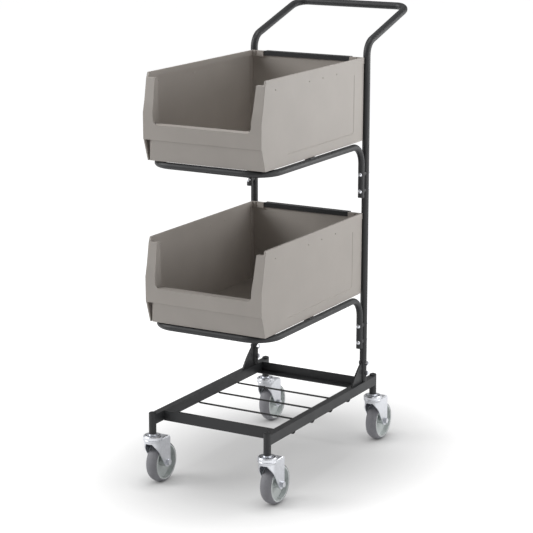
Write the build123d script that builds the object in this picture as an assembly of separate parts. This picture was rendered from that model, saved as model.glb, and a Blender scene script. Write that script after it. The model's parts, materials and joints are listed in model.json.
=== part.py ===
from build123d import *
import math
import os

# Mobile bin cart: a four-wheel tube frame that carries two open-front picking bins, one above the other.
# X is across the cart, -Y is the front where the bins open, +Z is up. Lengths are in millimetres.
# The drawing datum is on the floor, midway between the four caster stems. At the end the whole cart
# is moved along Y, so that its origin is under the middle of its box.

# Plan of the four casters
track = 316.0                     # between the left and right caster stems
wheelbase = 548.0                 # between the front and rear caster stems

# General clearances
weld_gap = 0.05                   # between a coped tube end and the tube that it is welded to
press_gap = 0.05                  # radial, between a pressed pin or plug and its bore
running_gap = 0.05                # radial, between a turning piece and its shaft
bolt_gap = 0.1                    # radial, between a bolt and its hole
thread_gap = 0.03                 # radial, between a nut and its bolt
overrun = 5.0                     # how far a cut runs past the piece that it cuts

# Caster wheel
wheel_diameter = 100.0
wheel_width = 29.6
tread_drop = 5.5                  # height of the crowned tread, from shoulder to middle
tyre_depth = 7.0                  # from the rim to the top of the tread
rim_thickness = 3.4
web_thickness = 4.0
boss_radius = 11.0
boss_side_gap = 0.6               # between the hub boss and the fork leg
bush_wall = 2.0

# Caster fork, pressed from sheet
trail = 36.0                      # from the swivel axis back to the axle
fork_sheet = 2.2
fork_inner_width = 34.0
fork_front_swell = 1.2            # how far the round front stands out beyond the flat legs
fork_crease = 19.0                # from the swivel axis back to where the legs turn flat
fork_end_radius = 12.0            # round lower end of each leg, about the axle
fork_shoulder_radius = 9.0
fork_top_bend = 5.0
fork_front_top = 108.0            # height of the arch over the front of the wheel
fork_front_turn = -17.0           # from the swivel axis to where the arch turns into the leg
cup_radius = 23.0
cup_bevel_height = 7.0            # tapered lower part of the cup
cup_straight_height = 11.5
cup_edge_radius = 2.5
cup_groove = 0.8                  # pressed line round the cup
cup_groove_rise = 1.8             # from the lower end of the cup's straight part up to the line
crown_thickness = 2.5
crown_top = 117.5                 # height of the ball track and of the fork's back

# Swivel stem and its balls
stem_radius = 6.0
stem_length = 40.0                # inside the socket
flange_radius = 16.0
flange_gap = 1.5                  # between the flange and the cup's rim
flange_thickness = 7.4
collar_radius = 10.5
collar_height = 2.4
kingpin_radius = 5.0
kingpin_gap = 0.1
rivet_radius = 8.0
rivet_height = 3.0
rivet_gap = 0.3
ball_radius = 2.4
ball_gap = 0.1
ball_ring_radius = 11.5
ball_count = 12

# Axle bolt and nut
axle_radius = 4.0
axle_head_across = 13.0
axle_head_height = 6.0

# Base frame
rail_width = 18.0
rail_height = 24.0
rail_wall = 1.5
rail_bottom = 155.0
socket_radius = 9.0
socket_bottom = 130.0
socket_top = 182.0
cap_height = 3.0
cap_spigot = 7.0
angle_leg = 25.0
angle_thickness = 2.0
front_angle_setback = 37.0        # from the front stems to the front angle's face
rear_angle_setback = 32.0         # from the rear stems to the rear angle's face
wire_diameter = 4.5
wire_count = 4
wire_pitch = 95.0
wire_middle = -9.0                # middle of the set of wires
wire_drop = 7.5                   # from the rails' underside to the wires' centre line
wire_bend_radius = 4.0
wire_end_inset = 7.0              # from the rails' outer faces in to where the wires turn up

# Upright tube, bent on into the handle
tube_radius = 9.0
tube_wall = 1.5
upright_to_stem = 57.4            # from the upright forward of the rear stems
grip_height = 1103.5              # centre line of the handle's grip
handle_reach = 228.0              # from the uprights back to the grip
handle_rise = 70.5                # from the bend's corner up to the grip
upright_bend_radius = 38.0
grip_bend_radius = 31.0

# Foot plates that hold the uprights
foot_thickness = 4.0
foot_height = 54.0
foot_front_reach = 62.5           # from the upright's axis forward to the plate's toe
foot_toe_height = 1.5
foot_bulge = 3.2                  # how far the front edge bows out of its chord
foot_rear_reach = 6.6
foot_slot_gap = 0.15
foot_bolt_heights = (22.5, 48.0)

# Small bolts and nuts
bolt_radius = 3.0
bolt_head_radius = 5.5
bolt_head_height = 3.4
bolt_tail = 1.4                   # end of the thread beyond the nut
nut_across = 10.0
nut_height = 5.0

# Trays: the bent tubes that carry the bins
tray_radius = 8.0
tray_wall = 1.5
upper_tray_height = 787.5         # centre line of the upper tray's tube
tray_pitch = 386.0
tray_front_setback = 21.5         # from the bins' front to the front tube's centre line
tray_corner_radius = 60.0
tray_bend_radius = 47.0
tray_leg_length = 130.8           # from the tray's centre line down to the leg's end
tray_bolt_drops = (73.0, 115.1)
tray_standoff = 5.7               # clear space between a tray leg and its upright
spacer_radius = 6.0
plug_flange = 2.0
plug_spigot = 8.0
pad_length = 27.0
pad_setback = 235.5               # from the bins' front to the pads' middle
pad_height = 1.5                  # above the tray's tube
pad_inner_reach = 12.0            # from the side bar's axis in towards the bin
pad_outer_reach = 4.0
pad_depth = 9.0

# Bins
bin_height = 204.0
bin_top_width = 314.0
bin_bottom_width = 313.0
bin_length = 503.0
bin_to_upright = 3.1              # between the bin's back and the uprights
bin_rear_draft = 0.8
bin_wall = 3.0
nose_bottom_height = 51.5         # where the front panel steps in and slopes down to the floor
nose_step = 1.8
nose_top_height = 112.0
nose_bottom_setback = 17.5
brow_height = 142.0
brow_setback = 7.5
shoulder_height = 191.0
shoulder_setback = 16.5
rim_front_setback = 21.5
rim_height = 12.0
rim_extra = 2.0                   # thickened wall inside the rim
post_height = 193.0
post_depth = 28.0
post_top_half = 134.0             # half the opening's width at the top of the posts
post_bottom_half = 129.0          # half the opening's width at the lip
post_wall = 3.0
opening_corner_radius = 12.0
lip_height = 86.5
lip_depth = 14.0
lip_rise = 2.5
lip_thickness = 4.0
pocket_inner_half = 139.0
recess_side = -1                  # the bins' one slanted corner is under the left end of the nose
recess_reach = 17.0               # how far it reaches in from its slot
recess_depth = 15.0               # and how far back it goes under the nose
recess_slot = 3.8                 # slot between the slanted corner and the side
fin_thickness = 3.2
side_hole_radius = 1.7
side_hole_drop = 25.0             # below the rim
side_hole_setbacks = (63.5, 223.5, 289.5, 359.5)
corner_step_depth = 1.0
corner_step_length = 14.0
corner_tab_height = 15.0
corner_block_half = 120.5         # half the notch between the rear corner blocks
corner_block_depth = 8.5
corner_slot_half = 141.0
corner_slot_width = 4.5
corner_slot_depth = 12.0
rear_flange_reach = 12.0
rear_flange_half = 146.5
rear_flange_thickness = 3.0
bar_height = 11.0
bar_depth = 18.0
bar_overhang = 3.5
bar_end_gap = 1.0
bar_wall = 2.0

# Values that follow from the sizes above
half_track = track / 2
half_base = wheelbase / 2
wheel_radius = wheel_diameter / 2
axle_height = wheel_radius
half_fork = fork_inner_width / 2
fork_outer = half_fork + fork_sheet
fork_top = crown_top
bush_radius = axle_radius + bolt_gap + bush_wall
rail_top = rail_bottom + rail_height
upright_y = half_base - upright_to_stem
handle_y = upright_y + handle_reach
arm_height = grip_height - handle_rise
leg_y = upright_y - tube_radius - tray_standoff - tray_radius
tray_heights = {"lower": upper_tray_height - tray_pitch, "upper": upper_tray_height}
bin_rise = tray_radius + pad_height
bin_rear = upright_y - tube_radius - bin_to_upright
bin_front = bin_rear - bin_length
tray_front = bin_front + tray_front_setback
pad_middle = bin_front + pad_setback
bin_flare = (bin_top_width - bin_bottom_width) / 2 / bin_height
side_hole_height = bin_height - side_hole_drop
cart_middle = (bin_front + handle_y + tube_radius) / 2

CORNERS = {
    "front_left": (-half_track, -half_base),
    "front_right": (half_track, -half_base),
    "rear_left": (-half_track, half_base),
    "rear_right": (half_track, half_base),
}
SIDES = {"left": -1, "right": 1}


def node(name, *solids):
    """Write one named piece, or one group of like pieces, in the cart's final frame."""
    placed = [Pos(0, -cart_middle, 0) * solid for solid in solids]
    shape = placed[0] if len(placed) == 1 else Compound(children=placed)
    export_step(shape, f"parts/{name}.step")


def upright_cylinder(radius, low, high):
    return Pos(0, 0, low) * extrude(Circle(radius), high - low)


def cylinder_x(radius, low, high):
    return Pos(low, 0, 0) * extrude(Plane.YZ * Circle(radius), high - low)


def cylinder_y(radius, low, high):
    return Pos(0, low, 0) * extrude(Plane.XZ * Circle(radius), low - high)


def slab(x_low, x_high, y_low, y_high, z_low, z_high):
    """A block between two corners."""
    size = (x_high - x_low, y_high - y_low, z_high - z_low)
    middle = ((x_high + x_low) / 2, (y_high + y_low) / 2, (z_high + z_low) / 2)
    return Pos(*middle) * Box(*size)


def across_prism(outline, half_width):
    """Extrude an outline in the YZ plane to both sides of the cart's middle plane."""
    return extrude(Plane.YZ * outline, half_width, both=True)


def outline_face(points):
    return make_face(Polyline(*points, close=True))


def along_prism(outline, front, back):
    """Extrude an outline in the XZ plane from one Y to another."""
    return Pos(0, front, 0) * extrude(Plane.XZ * outline, front - back)


def dome_arc(radius, base, rise):
    """A shallow dome's section: from its rim, at the radius, up to its crown on the axis."""
    sphere = (radius ** 2 + rise ** 2) / (2 * rise)
    sag = sphere - math.sqrt(sphere ** 2 - radius ** 2 / 4)
    return ThreePointArc((radius, base), (radius / 2, base + rise - sag), (0, base + rise))


def bent_tube(points, radii, radius, wall):
    """A round tube along a filleted route."""
    route = FilletPolyline(*points, radius=radii)
    start = Plane(route @ 0, z_dir=route % 0)
    outer = sweep(start * Circle(radius), path=route)
    inner = sweep(start * Circle(radius - wall), path=route)
    return outer - inner


def tangent_point(centre, radius, point):
    """Where a line from the point touches the circle, on the lower left side."""
    across = centre[0] - point[0]
    up = centre[1] - point[1]
    distance = math.hypot(across, up)
    turn = math.atan2(up, across) - math.asin(radius / distance)
    reach = math.sqrt(distance ** 2 - radius ** 2)
    return point[0] + reach * math.cos(turn), point[1] + reach * math.sin(turn)


def hexagon(across_flats):
    return RegularPolygon(across_flats / math.sqrt(3), 6)


def domed_bolt(length):
    """A round-headed bolt whose head's underside is at X = 0 and whose shank runs along +X."""
    section = dome_arc(bolt_head_radius, 0, bolt_head_height) + Polyline(
        (0, bolt_head_height), (0, 0), (bolt_head_radius, 0)
    )
    head = Rot(0, -90, 0) * revolve(Plane.XZ * make_face(section), Axis.Z)
    return head + cylinder_x(bolt_radius, 0, length)


def nut(height, across_flats, hole_radius):
    """A six-sided nut from X = 0 along +X."""
    return extrude(Plane.YZ * hexagon(across_flats), height) - cylinder_x(hole_radius, 0, height)


def small_nut():
    return nut(nut_height, nut_across, bolt_radius + thread_gap)


def swivel_stem():
    """Socket pin, ball flange and kingpin in one turned piece, riveted over below the crown."""
    flange_bottom = socket_bottom - flange_thickness
    collar_bottom = socket_bottom - collar_height
    crown_bottom = crown_top - crown_thickness
    rivet_top = crown_bottom - rivet_gap
    outline = [
        (0, rivet_top - rivet_height),
        (rivet_radius, rivet_top - rivet_height / 3),
        (rivet_radius, rivet_top),
        (kingpin_radius, rivet_top),
        (kingpin_radius, flange_bottom),
        (flange_radius, flange_bottom),
        (flange_radius, collar_bottom),
        (collar_radius, collar_bottom),
        (collar_radius, socket_bottom),
        (stem_radius - press_gap, socket_bottom),
        (stem_radius - press_gap, socket_bottom + stem_length),
        (0, socket_bottom + stem_length),
    ]
    return revolve(Plane.XZ * outline_face(outline), Axis.Z)


def swivel_balls():
    """The ring of balls between the stem's flange and the fork's crown."""
    height = crown_top + ball_gap + ball_radius
    for turn in range(ball_count):
        angle = 360 * turn / ball_count
        yield Rot(0, 0, angle) * Pos(ball_ring_radius, 0, height) * Sphere(ball_radius)


def fork_side_outline():
    """The fork seen from its side: back, shoulder, rear edge, round end and raked front edge."""
    rear = trail + fork_end_radius
    turn = (fork_front_turn, fork_front_top)
    brow = (fork_front_turn + fork_sheet * 2, fork_front_top - fork_sheet * 4)
    heel = tangent_point((trail, axle_height), fork_end_radius, brow)
    points = [
        (-cup_radius, fork_top),
        (rear, fork_top),
        (rear, axle_height),
        (trail, axle_height),
        heel,
        brow,
        turn,
        (-cup_radius, fork_front_top),
    ]
    body = outline_face(points)
    shoulder = body.vertices().sort_by(Axis.Y)[-2:].sort_by(Axis.X)[-1]
    body = fillet(shoulder, fork_shoulder_radius)
    return body + Pos(trail, axle_height) * Circle(fork_end_radius)


def fork_plan(half_width, rear):
    """The fork seen from above: a round front, sides that close in a little, then flat legs."""
    front = half_width + fork_front_swell
    right = [(front, 0), (half_width, fork_crease), (half_width, rear)]
    return Circle(front) + outline_face(right + [(-x, y) for x, y in reversed(right)])


def caster_fork():
    bottom = axle_height - fork_end_radius
    rear = trail + fork_end_radius
    outside = Pos(0, 0, bottom) * extrude(fork_plan(fork_outer, rear), fork_top - bottom)
    top_edges = outside.faces().sort_by(Axis.Z)[-1].edges().sort_by(Axis.Y)[:-1]
    outside = fillet(top_edges, fork_top_bend)
    inside_top = fork_top - fork_sheet
    inside = Pos(0, 0, bottom) * extrude(fork_plan(half_fork, rear + overrun), inside_top - bottom)
    shell = (outside - inside) & across_prism(fork_side_outline(), cup_radius)

    cup_top = crown_top + flange_thickness + (socket_bottom - crown_top - flange_thickness) / 3
    straight_bottom = cup_top - cup_straight_height
    groove = straight_bottom + cup_groove_rise
    opening = flange_radius + flange_gap
    crown_bottom = crown_top - crown_thickness
    front_outer = fork_outer + fork_front_swell
    wall_inside = front_outer - fork_sheet / 2
    section = [
        (kingpin_radius + kingpin_gap, crown_bottom),
        (kingpin_radius + kingpin_gap, crown_top),
        (opening, crown_top),
        (opening, cup_top),
        (cup_radius - cup_edge_radius, cup_top),
        (cup_radius, cup_top - cup_edge_radius),
        (cup_radius, groove + cup_groove),
        (cup_radius - cup_groove, groove),
        (cup_radius, groove - cup_groove),
        (cup_radius, straight_bottom),
        (front_outer - fork_sheet / 4, straight_bottom - cup_bevel_height),
        (wall_inside, straight_bottom - cup_bevel_height),
        (wall_inside, crown_bottom),
    ]
    cup = revolve(Plane.XZ * outline_face(section), Axis.Z)
    well = upright_cylinder(opening, crown_top, cup_top + overrun)
    pin_hole = upright_cylinder(kingpin_radius + kingpin_gap, bottom, crown_top + overrun)
    axle_hole = Pos(0, trail, axle_height) * cylinder_x(axle_radius + bolt_gap, -cup_radius, cup_radius)
    return shell - well + cup - pin_hole - axle_hole


def caster_hub():
    """Moulded wheel centre: rim, middle web and long boss."""
    rim_outer = wheel_radius - tyre_depth
    rim_inner = rim_outer - rim_thickness
    half_rim = wheel_width / 2
    half_boss = half_fork - boss_side_gap
    rim = cylinder_x(rim_outer, -half_rim, half_rim) - cylinder_x(rim_inner, -half_rim, half_rim)
    web = cylinder_x(rim_inner + rim_thickness / 2, -web_thickness / 2, web_thickness / 2)
    boss = cylinder_x(boss_radius, -half_boss, half_boss)
    return rim + web + boss - cylinder_x(bush_radius + running_gap, -half_boss, half_boss)


def caster_tyre():
    """Solid rubber tread with a crowned face, moulded onto the rim."""
    inner = wheel_radius - tyre_depth
    shoulder = wheel_radius - tread_drop
    half = wheel_width / 2
    crown = ThreePointArc((-half, shoulder), (0, wheel_radius), (half, shoulder))
    sides = Polyline((half, shoulder), (half, inner), (-half, inner), (-half, shoulder))
    return revolve(make_face(crown + sides), Axis.X)


def axle_bolt():
    """Hexagon bolt through the fork, its end flush with the nut."""
    reach = fork_outer + axle_head_height
    head = Pos(-reach, 0, 0) * extrude(Plane.YZ * hexagon(axle_head_across), axle_head_height)
    return head + cylinder_x(axle_radius, -fork_outer, reach)


def build_casters():
    for corner, (stem_x, stem_y) in CORNERS.items():
        stem = Pos(stem_x, stem_y, 0)
        axle = Pos(stem_x, stem_y + trail, axle_height)
        node(f"caster_stem_{corner}", stem * swivel_stem())
        node(f"caster_balls_{corner}", *[stem * ball for ball in swivel_balls()])
        node(f"caster_fork_{corner}", stem * caster_fork())
        node(f"caster_axle_{corner}", axle * axle_bolt())
        axle_nut = Pos(fork_outer, 0, 0) * nut(axle_head_height, axle_head_across, axle_radius + thread_gap)
        node(f"caster_nut_{corner}", axle * axle_nut)
        bush = cylinder_x(bush_radius, -half_fork, half_fork)
        bush -= cylinder_x(axle_radius + bolt_gap, -half_fork, half_fork)
        node(f"caster_bush_{corner}", axle * bush)
        node(f"caster_hub_{corner}", axle * caster_hub())
        node(f"caster_tyre_{corner}", axle * caster_tyre())


def side_rail():
    """Rectangular tube between the front and rear caster sockets, its ends coped to them."""
    half = rail_width / 2
    tube = slab(-half, half, -half_base, half_base, rail_bottom, rail_top)
    bore = half - rail_wall
    inside = slab(-bore, bore, -half_base, half_base, rail_bottom + rail_wall, rail_top - rail_wall)
    cope = upright_cylinder(socket_radius + weld_gap, socket_bottom, socket_top)
    return tube - inside - Pos(0, -half_base, 0) * cope - Pos(0, half_base, 0) * cope


def angle_member(face_y, inward):
    """An angle between the side rails: its flat foot points to the middle of the cart."""
    half_length = half_track - rail_width / 2
    bottom = rail_top - angle_leg
    outline = outline_face([
        (face_y, bottom),
        (face_y, rail_top),
        (face_y + inward * angle_thickness, rail_top),
        (face_y + inward * angle_thickness, bottom + angle_thickness),
        (face_y + inward * angle_leg, bottom + angle_thickness),
        (face_y + inward * angle_leg, bottom),
    ])
    return across_prism(outline, half_length)


def base_wires():
    """Cross wires welded under the rails; each end turns up to the rail's underside."""
    height = rail_bottom - wire_drop
    bend_x = half_track + rail_width / 2 - wire_end_inset
    rise = wire_drop + wire_diameter
    first = wire_middle - wire_pitch * (wire_count - 1) / 2
    above = slab(-track, track, -half_base, half_base, rail_bottom, rail_top)
    for index in range(wire_count):
        place = first + wire_pitch * index
        points = [
            (-bend_x - rise / 2, place, height + rise),
            (-bend_x, place, height),
            (bend_x, place, height),
            (bend_x + rise / 2, place, height + rise),
        ]
        route = FilletPolyline(*points, radius=wire_bend_radius)
        start = Plane(route @ 0, z_dir=route % 0)
        yield sweep(start * Circle(wire_diameter / 2), path=route) - above


def socket_tube():
    tube = upright_cylinder(socket_radius, socket_bottom, socket_top)
    return tube - upright_cylinder(stem_radius, socket_bottom, socket_top)


def socket_cap():
    """Domed plug in the top of a socket."""
    section = dome_arc(socket_radius, socket_top, cap_height) + Polyline(
        (0, socket_top + cap_height), (0, socket_top), (socket_radius, socket_top)
    )
    spigot = upright_cylinder(stem_radius - press_gap, socket_top - cap_spigot, socket_top)
    return revolve(Plane.XZ * make_face(section), Axis.Z) + spigot


def build_base():
    for name, side in SIDES.items():
        node(f"side_rail_{name}", Pos(side * half_track, 0, 0) * side_rail())
    node("front_cross_angle", angle_member(-half_base + front_angle_setback, 1))
    node("rear_cross_angle", angle_member(half_base - rear_angle_setback, -1))
    node("base_wires", *base_wires())
    for corner, (stem_x, stem_y) in CORNERS.items():
        node(f"caster_socket_{corner}", Pos(stem_x, stem_y, 0) * socket_tube())
    node("socket_caps", *[Pos(x, y, 0) * socket_cap() for x, y in CORNERS.values()])


def handle_frame():
    """One bent tube: two uprights, two rising arms and the grip between them."""
    points = []
    for side in (-1, 1):
        upright = [
            (side * half_track, upright_y, rail_top),
            (side * half_track, upright_y, arm_height),
            (side * half_track, handle_y, grip_height),
        ]
        points += upright if side < 0 else upright[::-1]
    radii = [upright_bend_radius, grip_bend_radius, grip_bend_radius, upright_bend_radius]
    tube = bent_tube(points, radii, tube_radius, tube_wall)
    slot_half = foot_thickness / 2 + foot_slot_gap
    for side in (-1, 1):
        foot = Pos(side * half_track, upright_y, rail_top)
        slot_top = foot_height + foot_slot_gap
        tube -= foot * slab(-slot_half, slot_half, -tube_radius - overrun, -foot_rear_reach, 0, slot_top)
        for height in foot_bolt_heights:
            hole = cylinder_x(bolt_radius + bolt_gap, -tube_radius - overrun, tube_radius + overrun)
            tube -= foot * Pos(0, 0, height) * hole
        for tray_height in tray_heights.values():
            for drop in tray_bolt_drops:
                hole = cylinder_y(bolt_radius + bolt_gap, -tube_radius - overrun, tube_radius + overrun)
                tube -= Pos(side * half_track, upright_y, tray_height - drop) * hole
    return tube


def foot_plate():
    """Upright plate on the rail, with a bowed front edge; the upright's slotted end goes over it."""
    toe = (-foot_front_reach, foot_toe_height)
    shoulder = (-tube_radius, foot_height)
    chord = math.hypot(shoulder[0] - toe[0], shoulder[1] - toe[1])
    middle = (
        (toe[0] + shoulder[0]) / 2 - foot_bulge * (shoulder[1] - toe[1]) / chord,
        (toe[1] + shoulder[1]) / 2 + foot_bulge * (shoulder[0] - toe[0]) / chord,
    )
    heel = (foot_rear_reach, 0)
    rest = Polyline(shoulder, (foot_rear_reach, foot_height), heel, (-foot_front_reach, 0), toe)
    plate = across_prism(make_face(ThreePointArc(toe, middle, shoulder) + rest), foot_thickness / 2)
    for height in foot_bolt_heights:
        plate -= Pos(0, 0, height) * cylinder_x(bolt_radius + bolt_gap, -foot_thickness, foot_thickness)
    return plate


def build_uprights():
    node("handle_frame", handle_frame())
    bolts = []
    nuts = []
    bolt_length = tube_radius * 2 + nut_height + bolt_tail
    for name, side in SIDES.items():
        foot = Pos(side * half_track, upright_y, rail_top)
        node(f"foot_plate_{name}", foot * foot_plate())
        for height in foot_bolt_heights:
            bolts.append(foot * Pos(-tube_radius, 0, height) * domed_bolt(bolt_length))
            nuts.append(foot * Pos(tube_radius, 0, height) * small_nut())
    node("foot_bolts", *bolts)
    node("foot_nuts", *nuts)


def tray_tube(height):
    """One bent tube: front bar, two side bars and two legs that run down in front of the uprights."""
    leg_end = height - tray_leg_length + plug_flange
    points = [
        (-half_track, leg_y, leg_end),
        (-half_track, leg_y, height),
        (-half_track, tray_front, height),
        (half_track, tray_front, height),
        (half_track, leg_y, height),
        (half_track, leg_y, leg_end),
    ]
    radii = [tray_bend_radius, tray_corner_radius, tray_corner_radius, tray_bend_radius]
    tube = bent_tube(points, radii, tray_radius, tray_wall)
    for side in (-1, 1):
        for drop in tray_bolt_drops:
            hole = cylinder_y(bolt_radius + bolt_gap, -tray_radius - overrun, tray_radius + overrun)
            tube -= Pos(side * half_track, leg_y, height - drop) * hole
    return tube


def tray_spacer():
    """Saddle between a tray leg and its upright, hollowed to fit both tubes. It starts on the leg's axis."""
    span = upright_y - leg_y
    block = cylinder_y(spacer_radius, 0, span) - cylinder_y(bolt_radius + bolt_gap, 0, span)
    reach = spacer_radius * 2
    leg = upright_cylinder(tray_radius + weld_gap, -reach, reach)
    upright = Pos(0, span, 0) * upright_cylinder(tube_radius + weld_gap, -reach, reach)
    return block - leg - upright


def tray_pad(height, side):
    """Saddle pad clipped over a tray's side bar, flat on top where the bin rests."""
    low, high = sorted((-side * pad_inner_reach, side * pad_outer_reach))
    top = height + bin_rise
    block = slab(low, high, -pad_length / 2, pad_length / 2, top - pad_depth, top)
    return block - Pos(0, 0, height) * cylinder_y(tray_radius + press_gap, -pad_length, pad_length)


def end_plug(leg_end):
    """Plug that closes the lower end of a tray leg."""
    seat = leg_end + plug_flange
    spigot = upright_cylinder(tray_radius - tray_wall - press_gap, seat, seat + plug_spigot)
    return upright_cylinder(tray_radius, leg_end, seat) + spigot


def build_trays():
    plugs = []
    spacers = []
    bolts = []
    nuts = []
    along_y = Rot(0, 0, 90)
    bolt_length = tray_radius * 2 + tray_standoff + tube_radius * 2 + nut_height + bolt_tail
    for level, height in tray_heights.items():
        node(f"tray_tube_{level}", tray_tube(height))
        pads = [Pos(side * half_track, pad_middle, 0) * tray_pad(height, side) for side in (-1, 1)]
        node(f"tray_pads_{level}", *pads)
        for side in (-1, 1):
            leg = Pos(side * half_track, leg_y, 0)
            plugs.append(leg * end_plug(height - tray_leg_length))
            for drop in tray_bolt_drops:
                seat = leg * Pos(0, 0, height - drop)
                spacers.append(seat * tray_spacer())
                bolts.append(seat * Pos(0, -tray_radius, 0) * along_y * domed_bolt(bolt_length))
                tube_back = upright_y + tube_radius - leg_y
                nuts.append(seat * Pos(0, tube_back, 0) * along_y * small_nut())
    node("tray_end_plugs", *plugs)
    node("tray_spacers", *spacers)
    node("tray_bolts", *bolts)
    node("tray_nuts", *nuts)


def bin_side_outline(wall):
    """The bin seen from its side, moved in by a wall's thickness all round but at the top."""
    front = bin_front + wall
    rear = bin_rear - wall
    return outline_face([
        (front + nose_bottom_setback, wall),
        (front + nose_step, nose_bottom_height),
        (front, nose_bottom_height),
        (front, nose_top_height),
        (front + brow_setback, brow_height),
        (front + shoulder_setback, shoulder_height),
        (front + rim_front_setback, bin_height),
        (rear, bin_height),
        (rear - bin_rear_draft, wall),
    ])


def bin_front_outline(wall, low):
    """The bin seen from the front, moved in by a wall's thickness at both sides, from a height up."""
    half_low = bin_bottom_width / 2 + bin_flare * low - wall
    half_high = bin_top_width / 2 - wall
    right = [(half_low, low), (half_high, bin_height)]
    return outline_face(right + [(-x, z) for x, z in reversed(right)])


def bin_post_outline(inner_low, inner_high, low, high):
    """One front corner post seen from the front, from its inner edge out past the side of the bin."""
    outer = bin_top_width
    inner = [(inner_low, low), (inner_low, lip_height), (inner_high, high)]
    return outline_face(inner + [(outer, high), (outer, low)])


def bin_opening_outline():
    """The front opening between the posts, with rounded lower corners, open at the top."""
    rim_inner = bin_top_width / 2 - bin_wall - rim_extra
    high = bin_height + overrun
    post_edge = [(post_bottom_half, lip_height), (post_top_half, post_height)]
    half = post_edge + [(rim_inner, post_height), (rim_inner, high)]
    opening = outline_face(half + [(-x, z) for x, z in reversed(half)])
    lower = opening.vertices().sort_by(Axis.Y)[:2]
    return fillet(lower, opening_corner_radius)


def bin_block():
    """The bin's outer shape, solid: its side view and its front view in one."""
    side_view = across_prism(bin_side_outline(0), bin_top_width)
    return side_view & along_prism(bin_front_outline(0, 0), bin_front, bin_rear)


def bin_cavity():
    """The room inside the bin, less the corner posts at the front and the stepped corners behind."""
    cavity = across_prism(bin_side_outline(bin_wall), bin_top_width)
    cavity &= along_prism(bin_front_outline(bin_wall, bin_wall), bin_front, bin_rear)
    post = bin_post_outline(post_bottom_half, post_top_half, 0, post_height)
    posts = along_prism(post + mirror(post, about=Plane.YZ), bin_front, bin_front + post_depth)
    step_front = bin_rear - corner_step_length - bin_wall
    full = along_prism(bin_front_outline(0, 0), step_front, bin_rear)
    narrow = along_prism(bin_front_outline(bin_wall + corner_step_depth, 0), step_front, bin_rear)
    return cavity - posts - (full - narrow)


def recess_plan(height, moved_back):
    """The slanted corner in plan at one height: a triangle in front of its facet, well past the nose."""
    outer = bin_bottom_width / 2 + bin_flare * height - fin_thickness
    inner = outer - recess_slot
    share = height / nose_bottom_height
    setback = nose_bottom_setback + (recess_depth - nose_bottom_setback) * share
    back = bin_front + setback + moved_back
    front = back - recess_depth * 2
    outline = [
        (recess_side * outer, front),
        (recess_side * outer, back),
        (recess_side * inner, back),
        (recess_side * (inner - recess_reach * 2), front),
    ]
    return Pos(0, 0, height) * outline_face(outline)


def corner_recess(moved_back):
    """The room in front of the slanted corner, from below the bin up to its nose."""
    plans = [recess_plan(height, moved_back) for height in (-overrun, nose_bottom_height)]
    return loft(plans, ruled=True)


def post_hollow(side):
    """The hollow of one corner post, open below. The slanted corner closes it to the front, but for a slot."""
    back = bin_front + post_depth - post_wall
    low, high = sorted((side * pocket_inner_half, side * bin_top_width / 2))
    skin = along_prism(bin_front_outline(fin_thickness, -overrun), bin_front - overrun, back)
    hollow = slab(low, high, bin_front, back, 0, post_height - post_wall)
    hollow &= across_prism(bin_side_outline(bin_wall), bin_top_width)
    hollow += slab(low, high, bin_front + nose_bottom_setback + bin_wall, back, -overrun, bin_wall)
    if side == recess_side:
        facet_wall = bin_wall * math.hypot(recess_reach, recess_depth) / recess_reach
        slot_inner = side * (bin_bottom_width / 2 - fin_thickness - recess_slot)
        low, high = sorted((side * bin_top_width / 2, slot_inner))
        slot = slab(low, high, bin_front - overrun, back, -overrun, nose_bottom_height)
        hollow = hollow - corner_recess(facet_wall) + slot
    return hollow & skin


def bin_rim():
    """Thickened band inside the top of the two sides and the back."""
    low = bin_height - rim_height
    inner = bin_top_width / 2 - bin_wall - rim_extra
    band = bin_block() & slab(-bin_top_width, bin_top_width, bin_front, bin_rear, low, bin_height)
    return band - slab(-inner, inner, bin_front, bin_rear - bin_wall - rim_extra, low, bin_height)


def bin_rear_detail():
    """Corner blocks inside the back, and the flange behind it that carries the bar's rear leg."""
    front = bin_rear - corner_block_depth
    seat = bin_height - bar_height
    rim_inner = bin_top_width / 2 - bin_wall - rim_extra
    detail = slab(
        -rear_flange_half, rear_flange_half,
        bin_rear - bin_wall, bin_rear + rear_flange_reach,
        seat - rear_flange_thickness, seat,
    )
    slot = corner_slot_width / 2
    slot_floor = bin_height - corner_slot_depth
    for side in (-1, 1):
        low, high = sorted((side * corner_block_half, side * rim_inner))
        block = slab(low, high, front, bin_rear, seat - rear_flange_thickness, bin_height)
        middle = side * corner_slot_half
        detail += block - slab(middle - slot, middle + slot, front, bin_rear - bin_wall, slot_floor, bin_height)
    return detail


def bin_lip():
    """Rounded ledge along the top of the front panel, a little higher at its back."""
    back = bin_front + lip_depth
    outline = outline_face([
        (bin_front, lip_height - lip_thickness),
        (bin_front, lip_height),
        (back, lip_height + lip_rise),
        (back, lip_height + lip_rise - lip_thickness),
    ])
    return across_prism(outline, post_bottom_half)


def bin_bar_notch():
    """Room for the bar: over the back wall's top, and in front of it down to the rim's lower edge."""
    half = corner_block_half
    front = bin_rear - corner_block_depth - overrun
    over = slab(-half, half, front, bin_rear, bin_height - bar_wall, bin_height)
    return over + slab(-half, half, front, bin_rear - bin_wall, bin_height - rim_height, bin_height)


def bin_corner_steps():
    """The step down each rear corner, below the tab at its top."""
    front = bin_rear - corner_step_length
    step = along_prism(bin_front_outline(0, 0), front, bin_rear)
    step -= along_prism(bin_front_outline(corner_step_depth, 0), front, bin_rear)
    return step & slab(-bin_top_width, bin_top_width, front, bin_rear, 0, bin_height - corner_tab_height)


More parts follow.
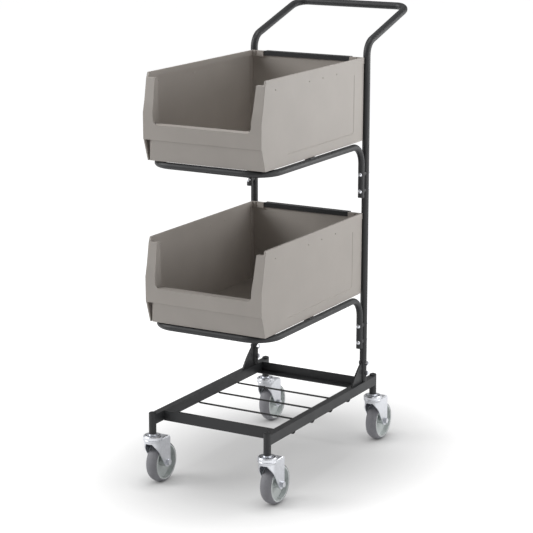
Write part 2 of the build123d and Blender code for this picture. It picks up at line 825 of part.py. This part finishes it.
def open_front_bin():
    """Moulded bin with an open front between corner posts. Its underside is at Z = 0."""
    body = bin_block() - bin_cavity() + bin_rim()
    body -= along_prism(bin_opening_outline(), bin_front - overrun, bin_front + post_depth + overrun)
    body += bin_lip()
    body += bin_rear_detail()
    body = body - bin_bar_notch() - bin_corner_steps()
    for side in (-1, 1):
        body -= post_hollow(side)
    body -= corner_recess(0)
    for setback in side_hole_setbacks:
        hole = cylinder_x(side_hole_radius, -bin_top_width, bin_top_width)
        body -= Pos(0, bin_front + setback, side_hole_height) * hole
    return body


def bin_bar():
    """Steel channel pushed down over the back wall, between the corner blocks."""
    front = bin_rear - bin_wall - bar_overhang
    low = bin_height - bar_height
    half = corner_block_half - bar_end_gap
    back = front + bar_depth
    inside = slab(-half, half, front + bar_wall, back - bar_wall, low, bin_height - bar_wall)
    return slab(-half, half, front, back, low, bin_height) - inside


def build_bins():
    for level, height in tray_heights.items():
        seat = Pos(0, 0, height + bin_rise)
        node(f"bin_{level}", seat * open_front_bin())
        node(f"bin_bar_{level}", seat * bin_bar())


os.makedirs("parts", exist_ok=True)
build_base()
build_uprights()
build_trays()
build_bins()
build_casters()
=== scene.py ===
import json
import math

import bpy
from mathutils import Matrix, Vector


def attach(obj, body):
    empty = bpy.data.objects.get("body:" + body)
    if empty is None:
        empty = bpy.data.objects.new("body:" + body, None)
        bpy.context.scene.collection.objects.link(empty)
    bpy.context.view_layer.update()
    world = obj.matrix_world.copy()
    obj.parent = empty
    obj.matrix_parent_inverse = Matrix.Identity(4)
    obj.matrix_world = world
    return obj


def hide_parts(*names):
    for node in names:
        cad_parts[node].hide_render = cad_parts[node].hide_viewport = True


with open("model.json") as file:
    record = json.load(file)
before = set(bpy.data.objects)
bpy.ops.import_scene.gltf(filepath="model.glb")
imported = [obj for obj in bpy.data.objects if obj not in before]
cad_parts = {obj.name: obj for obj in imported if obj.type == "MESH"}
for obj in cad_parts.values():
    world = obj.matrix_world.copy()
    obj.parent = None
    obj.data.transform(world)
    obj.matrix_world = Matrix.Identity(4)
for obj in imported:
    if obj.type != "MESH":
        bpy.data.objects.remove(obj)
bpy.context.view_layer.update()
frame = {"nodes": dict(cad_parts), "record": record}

bl_info = {
    "name": "Mobile bin cart",
    "version": (1, 0, 0),
    "blender": (4, 5, 0),
    "location": "View3D > Sidebar > Bin cart",
    "description": "Finishes of a tube cart that carries two open-front picking bins",
    "category": "Object",
}

MM = 0.001
CORNERS = ("front_left", "front_right", "rear_left", "rear_right")
LEVELS = ("lower", "upper")

# The shape of the CAD bins: the height of each one's underside, half the width of its foot, how far its
# sides lean out for each unit of height, and the place along Y that only its front corners lie ahead of.
BIN_FLOORS = {"lower": 411 * MM, "upper": 797 * MM}
BIN_HALF_FOOT = 156.5 * MM
BIN_FLARE = 0.5 / 204
BIN_CORNER_BACK = -350 * MM

# How the copies of CAD meshes are joined, rounded and smoothed. The angles are between two faces: below
# the first they count as one flat face, above the second their edge is rounded, and below the third they
# are shaded as one curved face.
WELD_GAP = 0.002 * MM
FLAT_ANGLE = math.radians(0.2)
SHARP_ANGLE = math.radians(28)
SMOOTH_ANGLE = math.radians(35)
SHORT_BIN_EDGE = 6 * MM

# Most of a noise texture's values lie between these two.
NOISE_LOW, NOISE_HIGH = 0.3, 0.7

WHITE = (1.0, 1.0, 1.0, 1.0)

# The floor's width and the camera's place in metres, and its sensor's width in millimetres.
FLOOR_WIDTH = 60.0
CAMERA_PLACE = (2.1998, -3.9509, 1.5728)
SENSOR_WIDTH = 36.0

# Each soft box's name, place, aim and width in metres, and its power in watts.
LAMPS = (
    ("overhead_box", (0.0, 0.0, 3.6), (0.0, -0.1, 0.2), 1.0, 30.0),
    ("left_box", (-3.6, -2.4, 3.0), (0.0, 0.0, 0.7), 2.8, 153.0),
    ("right_box", (3.2, 0.6, 2.0), (0.0, 0.0, 0.6), 2.0, 23.0),
    ("low_right_box", (2.8, -0.4, 0.5), (0.0, 0.0, 0.1), 1.6, 12.0),
    ("near_right_box", (1.0, 0.9, 0.95), (0.15, 0.2, 0.75), 0.8, 6.5),
)


def linear_colour(code):
    """The linear RGBA of an sRGB hex value."""
    channels = [int(code[place:place + 2], 16) / 255 for place in (1, 3, 5)]
    return (*[c / 12.92 if c <= 0.04045 else ((c + 0.055) / 1.055) ** 2.4 for c in channels], 1.0)


def add_node(owner, kind, values=None, links=None, **settings):
    """Add one node to a material or world, with its settings, its input values and the links into it."""
    node = owner.node_tree.nodes.new(kind)
    for name, value in settings.items():
        setattr(node, name, value)
    for name, value in (values or {}).items():
        node.inputs[name].default_value = value
    for name, socket in (links or {}).items():
        owner.node_tree.links.new(socket, node.inputs[name])
    return node


class BinCartColours(bpy.types.PropertyGroup):
    bin_plastic: bpy.props.FloatVectorProperty(
        name="Bin plastic", description="Stone grey polypropylene of both bins",
        subtype="COLOR", size=4, min=0, max=1, default=linear_colour("#B1ABA5"),
    )
    enamel: bpy.props.FloatVectorProperty(
        name="Powder coat", description="Black powder coat of the whole frame",
        subtype="COLOR", size=4, min=0, max=1, default=linear_colour("#242527"),
    )
    # Painted shade: the wires get the frame's powder coat drawn darker, which paints the shade that falls
    # on them.
    wire_painted_shade: bpy.props.FloatVectorProperty(
        name="Wire coat", description="Deeper black of the base shelf's drawn wires",
        subtype="COLOR", size=4, min=0, max=1, default=linear_colour("#0E0F10"),
    )
    fittings: bpy.props.FloatVectorProperty(
        name="Black plastic", description="Plugs, caps and pads",
        subtype="COLOR", size=4, min=0, max=1, default=linear_colour("#202123"),
    )
    tread: bpy.props.FloatVectorProperty(
        name="Tread rubber", description="Grey rubber of the caster treads",
        subtype="COLOR", size=4, min=0, max=1, default=linear_colour("#8E8E93"),
    )
    hub: bpy.props.FloatVectorProperty(
        name="Wheel centre", description="Pale grey-green polypropylene of the wheel centres",
        subtype="COLOR", size=4, min=0, max=1, default=linear_colour("#D2D7D6"),
    )
    zinc: bpy.props.FloatVectorProperty(
        name="Zinc plate", description="Bright zinc plate of the casters and fasteners",
        subtype="COLOR", size=4, min=0, max=1, default=linear_colour("#DCDEE3"),
    )
    bearing: bpy.props.FloatVectorProperty(
        name="Bearing steel", description="Polished steel of the caster balls and bushes",
        subtype="COLOR", size=4, min=0, max=1, default=linear_colour("#B9B9B6"),
    )


class BinCartSizes(bpy.types.PropertyGroup):
    bin_edge: bpy.props.FloatProperty(
        name="Bin edge", description="Radius of the bins' moulded edges",
        unit="LENGTH", min=0, default=0.8 * MM,
    )
    bin_corner: bpy.props.FloatProperty(
        name="Bin corner", description="Radius of the bins' upright front corners",
        unit="LENGTH", min=0, default=2.6 * MM,
    )
    fork_edge: bpy.props.FloatProperty(
        name="Fork edge", description="Radius of the pressed forks' sheet edges",
        unit="LENGTH", min=0, default=0.45 * MM,
    )
    groove_radius: bpy.props.FloatProperty(
        name="Groove radius", description="Radius of the round groove in the bins' sides",
        unit="LENGTH", min=0.5 * MM, default=1.7 * MM,
    )
    groove_depth: bpy.props.FloatProperty(
        name="Groove depth", description="Depth of the groove in the bins' sides",
        unit="LENGTH", min=0.1 * MM, default=0.9 * MM,
    )
    camera_lens: bpy.props.FloatProperty(
        name="Lens", description="Focal length of the camera",
        subtype="DISTANCE_CAMERA", min=1, default=127.0,
    )
    camera_azimuth: bpy.props.FloatProperty(
        name="Camera azimuth", description="Turn of the view from straight ahead to the right",
        subtype="ANGLE", default=math.radians(29.59),
    )
    camera_tilt: bpy.props.FloatProperty(
        name="Camera tilt", description="How far the camera looks down",
        subtype="ANGLE", default=math.radians(13.5),
    )


def new_material(name, colour, metallic, roughness, ior=None):
    """A material whose shader has these even values. A metal keeps the default IOR."""
    material = bpy.data.materials.new(name)
    material.use_nodes = True
    material.diffuse_color = colour
    shader = material.node_tree.nodes["Principled BSDF"]
    shader.inputs["Base Color"].default_value = colour
    shader.inputs["Metallic"].default_value = metallic
    shader.inputs["Roughness"].default_value = roughness
    if ior:
        shader.inputs["IOR"].default_value = ior
    return material, shader


def vary(material, shader, colour, patterns, shades, gloss, relief=None):
    """Make a material's colour, roughness and relief differ a little from place to place.

    The patterns are soft noises on the frame that all pieces share, each with its grain in metres, its
    detail and its fineness. The colour turns darker and lighter by two factors with the pattern named in
    shades, the roughness goes from one value to another with the one in gloss, and the one in relief
    stands out by so many metres.
    """
    place = add_node(material, "ShaderNodeTexCoord").outputs["Object"]
    noise = {}
    for pattern, (grain, detail, fineness) in patterns.items():
        noise[pattern] = add_node(
            material, "ShaderNodeTexNoise",
            {"Scale": 1 / grain, "Detail": detail, "Roughness": fineness}, {"Vector": place},
        ).outputs["Fac"]
    levels = []
    for pattern, low, high in (shades, gloss):
        spread = {"From Min": NOISE_LOW, "From Max": NOISE_HIGH, "To Min": low, "To Max": high}
        levels.append(add_node(material, "ShaderNodeMapRange", spread, {"Value": noise[pattern]}))
    factor, roughness = (level.outputs["Result"] for level in levels)
    tone = add_node(material, "ShaderNodeVectorMath", {0: colour[:3]}, {1: factor}, operation="MULTIPLY")
    material.node_tree.links.new(tone.outputs["Vector"], shader.inputs["Base Color"])
    material.node_tree.links.new(roughness, shader.inputs["Roughness"])
    if relief:
        pattern, depth = relief
        skin = add_node(
            material, "ShaderNodeBump", {"Strength": 1.0, "Distance": depth}, {"Height": noise[pattern]}
        )
        material.node_tree.links.new(skin.outputs["Normal"], shader.inputs["Normal"])


def powder_coat(name, colour):
    """Polyester powder coat, sprayed and baked: even semi-matt black with a fine orange peel, whose waves
    are 1.6 mm apart."""
    material, shader = new_material(name, colour, metallic=0.0, roughness=0.5, ior=1.5)
    patterns = {"peel": (1.6 * MM, 2.0, 0.45), "cloud": (45 * MM, 3.0, 0.5)}
    vary(
        material, shader, colour, patterns,
        shades=("cloud", 0.92, 1.1), gloss=("cloud", 0.46, 0.55), relief=("peel", 0.05 * MM),
    )
    return material


def moulded_black(colour):
    """Polyethylene, injection moulded: duller than the coated tube, with a spark-eroded skin. The real
    skin's grain of about 0.2 mm is too fine to show, so it is drawn at 0.8 mm."""
    material, shader = new_material(
        "moulded_black_polyethylene", colour, metallic=0.0, roughness=0.55, ior=1.51
    )
    patterns = {"skin": (0.8 * MM, 1.0, 0.5), "flow": (12 * MM, 2.0, 0.5)}
    vary(
        material, shader, colour, patterns,
        shades=("flow", 0.93, 1.08), gloss=("skin", 0.5, 0.62), relief=("skin", 0.04 * MM),
    )
    return material


def bin_polypropylene(colour):
    """Polypropylene copolymer, injection moulded in warm stone grey: a fine eroded skin, faint flow clouds
    and a soft, slightly waxy gloss. The real skin's grain of about 0.2 mm is too fine to show, so it is
    drawn at 0.9 mm."""
    material, shader = new_material(
        "stone_grey_polypropylene", colour, metallic=0.0, roughness=0.48, ior=1.49
    )
    patterns = {"skin": (0.9 * MM, 2.0, 0.6), "flow": (90 * MM, 4.0, 0.55)}
    vary(
        material, shader, colour, patterns,
        shades=("flow", 0.965, 1.03), gloss=("skin", 0.43, 0.54), relief=("skin", 0.035 * MM),
    )
    return material


def wheel_polypropylene(colour):
    """Polypropylene wheel centre, injection moulded: smooth and pale grey-green, with faint flow clouds
    and small differences in gloss."""
    material, shader = new_material(
        "pale_wheel_polypropylene", colour, metallic=0.0, roughness=0.4, ior=1.49
    )
    patterns = {"flow": (14 * MM, 3.0, 0.5), "rub": (1.0 * MM, 2.0, 0.5)}
    vary(
        material, shader, colour, patterns,
        shades=("flow", 0.95, 1.04), gloss=("rub", 0.35, 0.48),
    )
    return material


def tread_rubber(colour):
    """Thermoplastic rubber, moulded on the rim: matt grey, with the soft scuffs of a wheel that has rolled.
    Its real pores of about 0.3 mm are too fine to show, so they are drawn at 1.2 mm."""
    material, shader = new_material(
        "grey_thermoplastic_rubber", colour, metallic=0.0, roughness=0.62, ior=1.52
    )
    patterns = {"pores": (1.2 * MM, 2.0, 0.5), "scuffs": (9 * MM, 4.0, 0.6)}
    vary(
        material, shader, colour, patterns,
        shades=("scuffs", 0.9, 1.08), gloss=("scuffs", 0.54, 0.7), relief=("pores", 0.05 * MM),
    )
    return material


def zinc_plate(name, colour, cloud, smoothest, roughest):
    """Bright zinc plate with a clear passivation on pressed or rolled steel: a silvery, faintly cloudy
    mirror. The sheet's own grain, a few hundredths of a millimetre, is too fine to show, so it is drawn at
    1.1 mm."""
    material, shader = new_material(name, colour, metallic=1.0, roughness=(smoothest + roughest) / 2)
    patterns = {"cloud": (cloud, 3.0, 0.6), "sheet": (1.1 * MM, 1.0, 0.5)}
    vary(
        material, shader, colour, patterns,
        shades=("cloud", 0.9, 1.02), gloss=("cloud", smoothest, roughest), relief=("sheet", 0.01 * MM),
    )
    return material


def bearing_steel(colour):
    """Chrome steel, ground and polished, under a film of grease that dulls it in patches."""
    material, shader = new_material("polished_bearing_steel", colour, metallic=1.0, roughness=0.2)
    patterns = {"film": (2.5 * MM, 2.0, 0.5)}
    vary(
        material, shader, colour, patterns,
        shades=("film", 0.8, 1.0), gloss=("film", 0.14, 0.32),
    )
    return material


def dress(node, material):
    """Give a CAD node, whose shape stays, its material."""
    piece = frame["nodes"][node]
    piece.data.materials.clear()
    piece.data.materials.append(material)


def select_only(piece):
    """Make the piece the one that the next operator works on."""
    bpy.ops.object.select_all(action="DESELECT")
    piece.select_set(True)
    bpy.context.view_layer.objects.active = piece


def merged_copy(node, name):
    """A new piece with a CAD node's shape: its loose triangles joined, its flat faces whole."""
    piece = bpy.data.objects.new(name, frame["nodes"][node].data.copy())
    bpy.context.scene.collection.objects.link(piece)
    select_only(piece)
    bpy.ops.mesh.customdata_custom_splitnormals_clear()
    bpy.ops.object.mode_set(mode="EDIT")
    bpy.ops.mesh.select_mode(type="EDGE")
    bpy.ops.mesh.select_all(action="SELECT")
    bpy.ops.mesh.remove_doubles(threshold=WELD_GAP)
    bpy.ops.mesh.dissolve_limited(angle_limit=FLAT_ANGLE)
    bpy.ops.object.mode_set(mode="OBJECT")
    return piece


def edge_turn(piece):
    """The angle between the two faces at each edge, by the edge's index."""
    faces = {}
    for face in piece.data.polygons:
        for key in face.edge_keys:
            faces.setdefault(key, []).append(face.normal)
    turns = {}
    for edge in piece.data.edges:
        sides = faces.get(edge.key, [])
        turns[edge.index] = sides[0].angle(sides[1], 0) if len(sides) == 2 else 0
    return turns


def round_edges(piece, radius, wanted=None, segments=2, longer_than=0.0):
    """Round the sharp edges, or those of them that are wanted by the place of their two ends."""
    select_only(piece)
    bpy.ops.object.mode_set(mode="EDIT")
    bpy.ops.mesh.select_mode(type="EDGE")
    bpy.ops.mesh.select_all(action="DESELECT")
    bpy.ops.object.mode_set(mode="OBJECT")
    points = piece.data.vertices
    for index, turn in edge_turn(piece).items():
        edge = piece.data.edges[index]
        start, end = (points[corner].co for corner in edge.vertices)
        long_enough = (end - start).length > longer_than
        edge.select = turn > SHARP_ANGLE and long_enough and (wanted is None or wanted(start, end))
    bpy.ops.object.mode_set(mode="EDIT")
    bpy.ops.mesh.bevel(offset=radius, segments=segments, affect="EDGES", clamp_overlap=True)
    bpy.ops.object.mode_set(mode="OBJECT")


def finish_copy(piece, node, material):
    """Smooth the piece's curved faces, give it its material, and let it stand for the CAD node."""
    select_only(piece)
    bpy.ops.object.shade_smooth_by_angle(angle=SMOOTH_ANGLE)
    even = piece.modifiers.new("even_shading", "WEIGHTED_NORMAL")
    even.keep_sharp = True
    bpy.ops.object.modifier_apply(modifier=even.name)
    piece.data.materials.clear()
    piece.data.materials.append(material)
    bodies = frame["record"]["behaviour"]["bodies"]
    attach(piece, next(body for body, nodes in bodies.items() if node in nodes))
    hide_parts(node)


def groove_cutter(side, floor, sizes):
    """A bent round bar along one side of a bin: forward along its foot, and up near its back."""
    width, turn, height = sizes.groove_radius, 10 * MM, 25 * MM
    front, back, top = -255.5 * MM, 74.5 * MM, 166 * MM
    round_sides, turn_steps = 20, 8
    bpy.ops.object.select_all(action="DESELECT")
    bpy.ops.mesh.primitive_circle_add(
        vertices=round_sides, radius=width, fill_type="NGON",
        location=(0, front, height), rotation=(math.pi / 2, 0, 0),
    )
    bar = bpy.context.object
    bpy.ops.object.transform_apply(location=True, rotation=True, scale=True)
    bpy.ops.object.mode_set(mode="EDIT")
    bpy.ops.mesh.select_all(action="SELECT")
    bpy.ops.mesh.extrude_region_move(TRANSFORM_OT_translate={"value": (0, back - turn - front, 0)})
    bpy.ops.mesh.spin(
        steps=turn_steps, angle=-math.pi / 2, center=(0, back - turn, height + turn), axis=(1, 0, 0),
        use_auto_merge=False,
    )
    bpy.ops.mesh.extrude_region_move(TRANSFORM_OT_translate={"value": (0, 0, top - height - turn)})
    bpy.ops.mesh.select_all(action="SELECT")
    bpy.ops.mesh.remove_doubles(threshold=WELD_GAP)
    bpy.ops.mesh.normals_make_consistent(inside=False)
    bpy.ops.object.mode_set(mode="OBJECT")
    flare = math.atan(BIN_FLARE)
    bar.rotation_euler = (0, side * flare, 0)
    bar.location = (side * (BIN_HALF_FOOT + width - sizes.groove_depth), 0, floor)
    bpy.ops.object.transform_apply(location=True, rotation=True, scale=True)
    return bar


def front_corner(start, end):
    """Whether an edge runs up one of a bin's two outer front corners."""
    margin, steepness = 0.1 * MM, 0.8
    outside = min(abs(start.x), abs(end.x)) > BIN_HALF_FOOT - margin
    upright = abs(end.z - start.z) > steepness * (end - start).length
    return outside and upright and max(start.y, end.y) < BIN_CORNER_BACK


def cut(piece, cutter):
    """Take the cutter's room out of the piece."""
    select_only(piece)
    change = piece.modifiers.new("cut", "BOOLEAN")
    change.operation = "DIFFERENCE"
    change.solver = "EXACT"
    change.object = cutter
    bpy.ops.object.modifier_apply(modifier=change.name)
    select_only(cutter)
    bpy.ops.object.delete()


class BINCART_OT_frame(bpy.types.Operator):
    """Coat the welded base, the uprights with their handle, the trays and the bars on the bins' backs"""

    bl_idname = "bincart.frame"
    bl_label = "Tube frame"

    def execute(self, context):
        colours = context.scene.bincart_colours
        coat = powder_coat("black_powder_coat", colours.enamel)
        # Painted shade: the base shelf's wires take a darker copy of the frame's powder coat.
        dress("base_wires", powder_coat("painted_shade_black_powder_coat", colours.wire_painted_shade))
        nodes = ["handle_frame", "front_cross_angle", "rear_cross_angle", "tray_spacers"]
        nodes += [f"{name}_{side}" for name in ("side_rail", "foot_plate") for side in ("left", "right")]
        nodes += [f"caster_socket_{corner}" for corner in CORNERS]
        nodes += [f"{name}_{level}" for name in ("tray_tube", "bin_bar") for level in LEVELS]
        for node in nodes:
            dress(node, coat)
        return {"FINISHED"}


class BINCART_OT_fittings(bpy.types.Operator):
    """Black plastic plugs, caps and pads"""

    bl_idname = "bincart.fittings"
    bl_label = "Plugs, caps and pads"

    def execute(self, context):
        plastic = moulded_black(context.scene.bincart_colours.fittings)
        for node in ("socket_caps", "tray_end_plugs", "tray_pads_lower", "tray_pads_upper"):
            dress(node, plastic)
        return {"FINISHED"}


class BINCART_OT_fasteners(bpy.types.Operator):
    """Zinc-plated bolts and nuts"""

    bl_idname = "bincart.fasteners"
    bl_label = "Bolts and nuts"

    def execute(self, context):
        colour = context.scene.bincart_colours.zinc
        zinc = zinc_plate("bright_zinc_fasteners", colour, cloud=3 * MM, smoothest=0.25, roughest=0.38)
        nodes = ["foot_bolts", "foot_nuts", "tray_bolts", "tray_nuts"]
        nodes += [f"caster_{name}_{corner}" for name in ("axle", "nut") for corner in CORNERS]
        for node in nodes:
            dress(node, zinc)
        return {"FINISHED"}


class BINCART_OT_casters(bpy.types.Operator):
    """Forks, stems, bearings and wheels of the four casters"""

    bl_idname = "bincart.casters"
    bl_label = "Casters"

    def execute(self, context):
        colours = context.scene.bincart_colours
        pressed = zinc_plate(
            "bright_zinc_pressed_steel", colours.zinc, cloud=9 * MM, smoothest=0.3, roughest=0.4
        )
        steel = bearing_steel(colours.bearing)
        centre = wheel_polypropylene(colours.hub)
        rubber = tread_rubber(colours.tread)
        for corner in CORNERS:
            fork = merged_copy(f"caster_fork_{corner}", f"fork_{corner}")
            round_edges(fork, context.scene.bincart_sizes.fork_edge)
            finish_copy(fork, f"caster_fork_{corner}", pressed)
            dress(f"caster_stem_{corner}", pressed)
            dress(f"caster_balls_{corner}", steel)
            dress(f"caster_bush_{corner}", steel)
            dress(f"caster_hub_{corner}", centre)
            dress(f"caster_tyre_{corner}", rubber)
        return {"FINISHED"}


class BINCART_OT_bins(bpy.types.Operator):
    """The two open-front bins"""

    bl_idname = "bincart.bins"
    bl_label = "Bins"

    def execute(self, context):
        sizes = context.scene.bincart_sizes
        plastic = bin_polypropylene(context.scene.bincart_colours.bin_plastic)
        corner_steps = 4
        for level in LEVELS:
            shell = merged_copy(f"bin_{level}", f"open_bin_{level}")
            round_edges(shell, sizes.bin_corner, front_corner, corner_steps, SHORT_BIN_EDGE)
            round_edges(shell, sizes.bin_edge, longer_than=SHORT_BIN_EDGE)
            for side in (-1, 1):
                cut(shell, groove_cutter(side, BIN_FLOORS[level], sizes))
            finish_copy(shell, f"bin_{level}", plastic)
        return {"FINISHED"}


def floor_material():
    """Matt white studio floor. To the camera and in reflections its paint counts half, and a glow lifts it
    to full white away from the cart and less under it: the cart's real shadow stays, softened, and the
    weaker glow under the cart paints more shade there. Where a wheel stands, ambient occlusion fades the
    glow, which paints a dark contact shade over the wheel's real contact shadow. Distances along the cart
    count less than those across it, because it is longer than wide."""
    paint = linear_colour("#E9E9E9")
    paint_share = 0.5
    distance_scale = (1.0, 0.7, 1.0)
    # Painted shade under the cart: the glow is least within near_cart of the middle and most beyond
    # off_cart.
    near_cart, off_cart = 0.1, 0.62
    least_glow, most_glow = 0.3, 0.95
    contact_reach, contact_samples = 0.06, 12
    material, shader = new_material("matt_white_floor", paint, metallic=0.0, roughness=0.9, ior=1.4)
    shader.inputs["Specular IOR Level"].default_value = 0.0
    rays = add_node(material, "ShaderNodeLightPath").outputs
    seen = add_node(
        material, "ShaderNodeMath", None, {0: rays["Is Camera Ray"], 1: rays["Is Glossy Ray"]},
        operation="MAXIMUM",
    ).outputs["Value"]
    softened = add_node(
        material, "ShaderNodeMapRange", {"To Min": 1.0, "To Max": paint_share}, {"Value": seen}
    ).outputs["Result"]
    tone = add_node(material, "ShaderNodeVectorMath", {0: paint[:3]}, {1: softened}, operation="MULTIPLY")
    material.node_tree.links.new(tone.outputs["Vector"], shader.inputs["Base Color"])
    place = add_node(material, "ShaderNodeTexCoord").outputs["Object"]
    scaled = add_node(
        material, "ShaderNodeVectorMath", {1: distance_scale}, {0: place}, operation="MULTIPLY"
    )
    away = add_node(
        material, "ShaderNodeVectorMath", None, {0: scaled.outputs["Vector"]}, operation="LENGTH"
    )
    rising = add_node(
        material, "ShaderNodeMapRange",
        {"From Min": near_cart, "From Max": off_cart, "To Min": least_glow, "To Max": most_glow},
        {"Value": away.outputs["Value"]}, interpolation_type="SMOOTHSTEP",
    )
    # Painted contact shade: the occlusion near each wheel's foot fades the glow there.
    clear = add_node(
        material, "ShaderNodeAmbientOcclusion", {"Distance": contact_reach}, samples=contact_samples
    )
    open_glow = add_node(
        material, "ShaderNodeMath", None, {0: rising.outputs["Result"], 1: clear.outputs["AO"]},
        operation="MULTIPLY",
    )
    glow = add_node(
        material, "ShaderNodeMath", None, {0: seen, 1: open_glow.outputs["Value"]}, operation="MULTIPLY"
    )
    light = add_node(material, "ShaderNodeEmission", {"Color": WHITE}, {"Strength": glow.outputs["Value"]})
    both = add_node(
        material, "ShaderNodeAddShader", None, {0: shader.outputs["BSDF"], 1: light.outputs["Emission"]}
    )
    end = material.node_tree.nodes["Material Output"]
    material.node_tree.links.new(both.outputs["Shader"], end.inputs["Surface"])
    return material


def studio_world():
    """An even white surround: full white to the camera and through glass, dimmer in reflections, since the
    studio's walls are further off than its lamps, and low as plain light beside the lamps."""
    mirrored_share = 0.35
    plain_light = 0.12
    world = bpy.data.worlds.new("white_surround")
    world.use_nodes = True
    bpy.context.scene.world = world
    rays = add_node(world, "ShaderNodeLightPath").outputs
    seen = add_node(
        world, "ShaderNodeMath", None, {0: rays["Is Camera Ray"], 1: rays["Is Transmission Ray"]},
        operation="MAXIMUM",
    )
    mirrored = add_node(
        world, "ShaderNodeMath", {1: mirrored_share}, {0: rays["Is Glossy Ray"]}, operation="MULTIPLY"
    )
    strongest = add_node(
        world, "ShaderNodeMath", None, {0: seen.outputs["Value"], 1: mirrored.outputs["Value"]},
        operation="MAXIMUM",
    )
    level = add_node(
        world, "ShaderNodeMapRange", {"To Min": plain_light, "To Max": 1.0},
        {"Value": strongest.outputs["Value"]},
    )
    back = world.node_tree.nodes["Background"]
    back.inputs["Color"].default_value = WHITE
    world.node_tree.links.new(level.outputs["Result"], back.inputs["Strength"])


def soft_lamp(name, place, aim, width, power):
    """A square soft box at a place, turned to face a point."""
    light = bpy.data.lights.new(name, "AREA")
    light.size = width
    light.energy = power
    lamp = bpy.data.objects.new(name, light)
    bpy.context.scene.collection.objects.link(lamp)
    lamp.location = place
    lamp.rotation_euler = (Vector(aim) - Vector(place)).to_track_quat("-Z", "Y").to_euler()


class BINCART_OT_stage(bpy.types.Operator):
    """Pale floor, white surround, soft lamps and the camera"""

    bl_idname = "bincart.stage"
    bl_label = "Stage"

    def execute(self, context):
        bpy.ops.object.select_all(action="DESELECT")
        bpy.ops.mesh.primitive_plane_add(size=FLOOR_WIDTH, location=(0, 0, 0))
        floor = context.object
        floor.name = "studio_floor"
        floor.data.materials.append(floor_material())
        studio_world()
        for lamp in LAMPS:
            soft_lamp(*lamp)

        sizes = context.scene.bincart_sizes
        data = bpy.data.cameras.new("photo_camera")
        data.lens = sizes.camera_lens
        data.sensor_width = SENSOR_WIDTH
        camera = bpy.data.objects.new("photo_camera", data)
        context.scene.collection.objects.link(camera)
        turn, tilt = sizes.camera_azimuth, sizes.camera_tilt
        back = Vector((math.sin(turn) * math.cos(tilt), -math.cos(turn) * math.cos(tilt), math.sin(tilt)))
        camera.location = CAMERA_PLACE
        camera.rotation_euler = (-back).to_track_quat("-Z", "Y").to_euler()
        context.scene.camera = camera
        context.scene.view_settings.view_transform = "Standard"
        return {"FINISHED"}


class BINCART_PT_panel(bpy.types.Panel):
    bl_idname = "BINCART_PT_panel"
    bl_label = "Mobile bin cart"
    bl_space_type = "VIEW_3D"
    bl_region_type = "UI"
    bl_category = "Bin cart"

    def draw(self, context):
        for group in (context.scene.bincart_sizes, context.scene.bincart_colours):
            box = self.layout.box()
            for name in group.__annotations__:
                box.prop(group, name)
        for operator in OPERATORS:
            self.layout.operator(operator.bl_idname)


OPERATORS = (
    BINCART_OT_frame,
    BINCART_OT_fittings,
    BINCART_OT_fasteners,
    BINCART_OT_casters,
    BINCART_OT_bins,
    BINCART_OT_stage,
)
CLASSES = (BinCartColours, BinCartSizes, *OPERATORS, BINCART_PT_panel)


def register():
    for cls in CLASSES:
        bpy.utils.register_class(cls)
    bpy.types.Scene.bincart_sizes = bpy.props.PointerProperty(type=BinCartSizes)
    bpy.types.Scene.bincart_colours = bpy.props.PointerProperty(type=BinCartColours)


def unregister():
    del bpy.types.Scene.bincart_colours
    del bpy.types.Scene.bincart_sizes
    for cls in reversed(CLASSES):
        bpy.utils.unregister_class(cls)


def main():
    register()
    bpy.ops.bincart.frame()
    bpy.ops.bincart.fittings()
    bpy.ops.bincart.fasteners()
    bpy.ops.bincart.casters()
    bpy.ops.bincart.bins()
    bpy.ops.bincart.stage()


if __name__ == "__main__":
    main()
